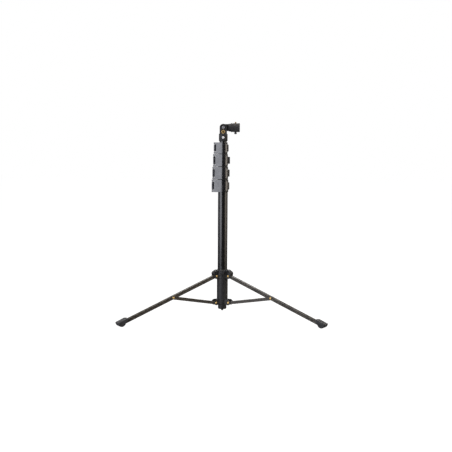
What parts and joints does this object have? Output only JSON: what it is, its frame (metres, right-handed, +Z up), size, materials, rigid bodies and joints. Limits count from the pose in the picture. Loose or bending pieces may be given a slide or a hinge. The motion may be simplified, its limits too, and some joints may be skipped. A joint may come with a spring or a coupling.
{
  "type": "tripod hunting stand",
  "caption": "Telescoping field tripod stand with flip-lock mast sections, folding braced legs on a sliding collar, and a tilting socket head for an accessory spigot.",
  "frame": {"origin": "the mast's axis at floor level, midway under the three feet", "axes": "+Z up along the mast, -Y towards the front, +X the way the head arm points at rest"},
  "size_m": [0.6272, 0.5437, 0.6068],
  "materials": {
    "gloss_black_tube": "gloss black anodised aluminium",
    "clamp_grey": "satin glass-filled nylon",
    "black_plastic": "fine-textured black nylon",
    "black_rubber": "moulded rubber",
    "leg_bronze": "dark bronze-grey anodised aluminium",
    "brass": "polished",
    "bright_steel": "zinc plated",
    "head_black": "powder-coated die-cast alloy"
  },
  "bodies": {
    "base": {"tube_1": "gloss_black_tube", "clamp_body_1": "black_plastic", "clamp_tbolt_1": "bright_steel", "clamp_pin_1": "bright_steel", "clamp_nut_1": "bright_steel", "lower_collar": "black_plastic", "stay_pivot_rivets": "brass", "mast_plug": "black_plastic", "mast_stud": "bright_steel"},
    "mast_2": {"tube_2": "gloss_black_tube", "guide_plug_2": "black_plastic", "clamp_body_2": "black_plastic", "clamp_tbolt_2": "bright_steel", "clamp_pin_2": "bright_steel", "clamp_nut_2": "bright_steel"},
    "mast_3": {"tube_3": "gloss_black_tube", "guide_plug_3": "black_plastic", "clamp_body_3": "black_plastic", "clamp_tbolt_3": "bright_steel", "clamp_pin_3": "bright_steel", "clamp_nut_3": "bright_steel"},
    "mast_4": {"tube_4": "gloss_black_tube", "guide_plug_4": "black_plastic", "clamp_body_4": "black_plastic", "clamp_tbolt_4": "bright_steel", "clamp_pin_4": "bright_steel", "clamp_nut_4": "bright_steel"},
    "mast_5": {"tube_5": "gloss_black_tube", "guide_plug_5": "black_plastic", "head_socket": "head_black", "head_pivot_bolt": "bright_steel", "head_pivot_nut": "bright_steel", "head_brass_bush": "brass", "head_fixing_screw": "bright_steel"},
    "lever_1": {"clamp_lever_1": "clamp_grey"},
    "lever_2": {"clamp_lever_2": "clamp_grey"},
    "lever_3": {"clamp_lever_3": "clamp_grey"},
    "lever_4": {"clamp_lever_4": "clamp_grey"},
    "collar": {"leg_collar": "black_plastic", "collar_sleeve": "black_plastic", "leg_pivot_rivets": "brass"},
    "collar_lock": {"collar_wing_knob": "black_plastic"},
    "leg_left_arm": {"leg_left": "leg_bronze", "foot_left": "black_rubber"},
    "stay_left_arm": {"stay_left": "leg_bronze", "knee_rivets_left": "brass"},
    "leg_right_arm": {"leg_right": "leg_bronze", "foot_right": "black_rubber"},
    "stay_right_arm": {"stay_right": "leg_bronze", "knee_rivets_right": "brass"},
    "leg_back_arm": {"leg_back": "leg_bronze", "foot_back": "black_rubber"},
    "stay_back_arm": {"stay_back": "leg_bronze", "knee_rivets_back": "brass"},
    "head_tilt_arm": {"head_arm": "head_black", "head_coupling": "head_black", "socket_spring_stud": "brass"},
    "socket_lock": {"socket_lock_screw": "black_plastic"}
  },
  "joints": [
    {"name": "extend_2", "type": "slide", "parent": "base", "child": "mast_2", "axis": [0, 0, 1], "range_m": [0, 0.263]},
    {"name": "extend_3", "type": "slide", "parent": "mast_2", "child": "mast_3", "axis": [0, 0, 1], "range_m": [0, 0.29]},
    {"name": "extend_4", "type": "slide", "parent": "mast_3", "child": "mast_4", "axis": [0, 0, 1], "range_m": [0, 0.316]},
    {"name": "extend_5", "type": "slide", "parent": "mast_4", "child": "mast_5", "axis": [0, 0, 1], "range_m": [0, 0.343]},
    {"name": "clamp_1_open", "type": "hinge", "parent": "base", "child": "lever_1", "pos_m": [-0.031, -0.00722, 0.4103], "axis": [0, 0, -1], "range_deg": [0, 125]},
    {"name": "clamp_2_open", "type": "hinge", "parent": "mast_2", "child": "lever_2", "pos_m": [-0.0291, -0.0067, 0.4497], "axis": [0, 0, -1], "range_deg": [0, 125]},
    {"name": "clamp_3_open", "type": "hinge", "parent": "mast_3", "child": "lever_3", "pos_m": [-0.02719, -0.00617, 0.4891], "axis": [0, 0, -1], "range_deg": [0, 125]},
    {"name": "clamp_4_open", "type": "hinge", "parent": "mast_4", "child": "lever_4", "pos_m": [-0.02529, -0.00565, 0.5267], "axis": [0, 0, -1], "range_deg": [0, 125]},
    {"name": "collar_slide", "type": "slide", "parent": "base", "child": "collar", "axis": [0, 0, 1], "range_m": [0, 0.224]},
    {"name": "collar_lock_turn", "type": "hinge", "parent": "collar", "child": "collar_lock", "pos_m": [0, -0.026, 0.143], "axis": [0, -1, 0], "continuous": true},
    {"name": "leg_left_fold", "type": "hinge", "parent": "collar", "child": "leg_left_arm", "pos_m": [-0.02139, -0.01235, 0.1315], "axis": [0.5, -0.866, 0], "range_deg": [0, 66.15]},
    {"name": "stay_left_fold", "type": "hinge", "parent": "base", "child": "stay_left_arm", "pos_m": [-0.02321, -0.0134, 0.0487], "axis": [-0.5, 0.866, 0], "range_deg": [0, 78.13]},
    {"name": "leg_right_fold", "type": "hinge", "parent": "collar", "child": "leg_right_arm", "pos_m": [0.02139, -0.01235, 0.1315], "axis": [0.5, 0.866, 0], "range_deg": [0, 66.15]},
    {"name": "stay_right_fold", "type": "hinge", "parent": "base", "child": "stay_right_arm", "pos_m": [0.02321, -0.0134, 0.0487], "axis": [-0.5, -0.866, 0], "range_deg": [0, 78.13]},
    {"name": "leg_back_fold", "type": "hinge", "parent": "collar", "child": "leg_back_arm", "pos_m": [0, 0.0247, 0.1315], "axis": [-1, 0, 0], "range_deg": [0, 66.15]},
    {"name": "stay_back_fold", "type": "hinge", "parent": "base", "child": "stay_back_arm", "pos_m": [0, 0.0268, 0.0487], "axis": [1, 0, 0], "range_deg": [0, 78.13]},
    {"name": "head_tilt", "type": "hinge", "parent": "mast_5", "child": "head_tilt_arm", "pos_m": [0, 0, 0.5895], "axis": [0, -1, 0], "range_deg": [0, 180]},
    {"name": "socket_lock_turn", "type": "hinge", "parent": "head_tilt_arm", "child": "socket_lock", "pos_m": [0.0377, 0, 0.575], "axis": [0, 0, -1], "continuous": true}
  ],
  "couplings": [
    {"joint": "leg_left_fold", "follows": "collar_slide", "rad_per_m": 5.1503},
    {"joint": "stay_left_fold", "follows": "collar_slide", "rad_per_m": 6.0834},
    {"joint": "leg_right_fold", "follows": "collar_slide", "rad_per_m": 5.1503},
    {"joint": "stay_right_fold", "follows": "collar_slide", "rad_per_m": 6.0834},
    {"joint": "leg_back_fold", "follows": "collar_slide", "rad_per_m": 5.1503},
    {"joint": "stay_back_fold", "follows": "collar_slide", "rad_per_m": 6.0834}
  ]
}
